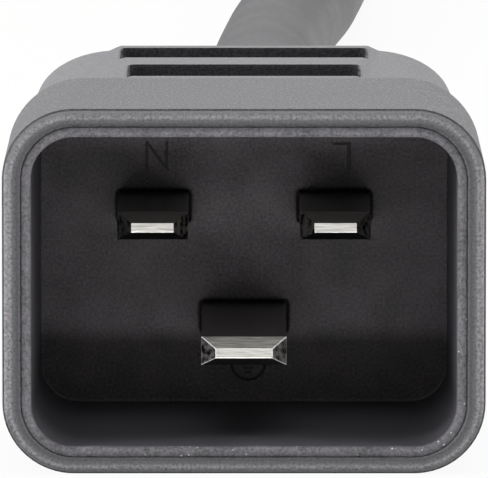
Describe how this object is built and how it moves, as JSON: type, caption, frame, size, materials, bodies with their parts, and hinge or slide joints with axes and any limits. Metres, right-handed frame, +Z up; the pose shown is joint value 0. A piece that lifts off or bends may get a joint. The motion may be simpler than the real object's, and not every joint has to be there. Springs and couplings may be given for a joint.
{
  "type": "c20 plug on a moulded rack power cord",
  "caption": "Recessed rectangular power plug with flat blades, moulded on a round cord that ends in the socket connector it mates with.",
  "frame": {"origin": "under the middle of the plug, on the surface that the cord set lies on", "axes": "+Z up, +Y along the plug from its open front to its cord, +X to the right seen from the front"},
  "size_m": [0.074, 0.62, 0.026],
  "materials": {
    "soft_moulding": "fine spark texture",
    "hard_insert": "satin moulded",
    "inner_moulding": "as moulded",
    "nickel_plated_brass": "bright",
    "sprung_brass": "bright",
    "copper": "stranded",
    "line_insulation": "satin",
    "neutral_insulation": "satin",
    "earth_insulation": "satin",
    "cord_jacket": "satin",
    "strap": "woven"
  },
  "bodies": {
    "root": {"plug_overmould": "soft_moulding", "plug_insert": "hard_insert", "plug_inner_mould": "inner_moulding", "cord_lead": "cord_jacket", "cord_hank": "cord_jacket", "cord_tail": "cord_jacket", "hank_tie": "strap", "connector_overmould": "soft_moulding", "connector_insert": "hard_insert", "connector_inner_mould": "inner_moulding", "plug_line_pin": "nickel_plated_brass", "plug_line_core": "line_insulation", "plug_line_wire": "copper", "connector_line_contact": "sprung_brass", "connector_line_core": "line_insulation", "connector_line_wire": "copper", "plug_neutral_pin": "nickel_plated_brass", "plug_neutral_core": "neutral_insulation", "plug_neutral_wire": "copper", "connector_neutral_contact": "sprung_brass", "connector_neutral_core": "neutral_insulation", "connector_neutral_wire": "copper", "plug_earth_pin": "nickel_plated_brass", "plug_earth_core": "earth_insulation", "plug_earth_wire": "copper", "connector_earth_contact": "sprung_brass", "connector_earth_core": "earth_insulation", "connector_earth_wire": "copper"}
  },
  "joints": []
}
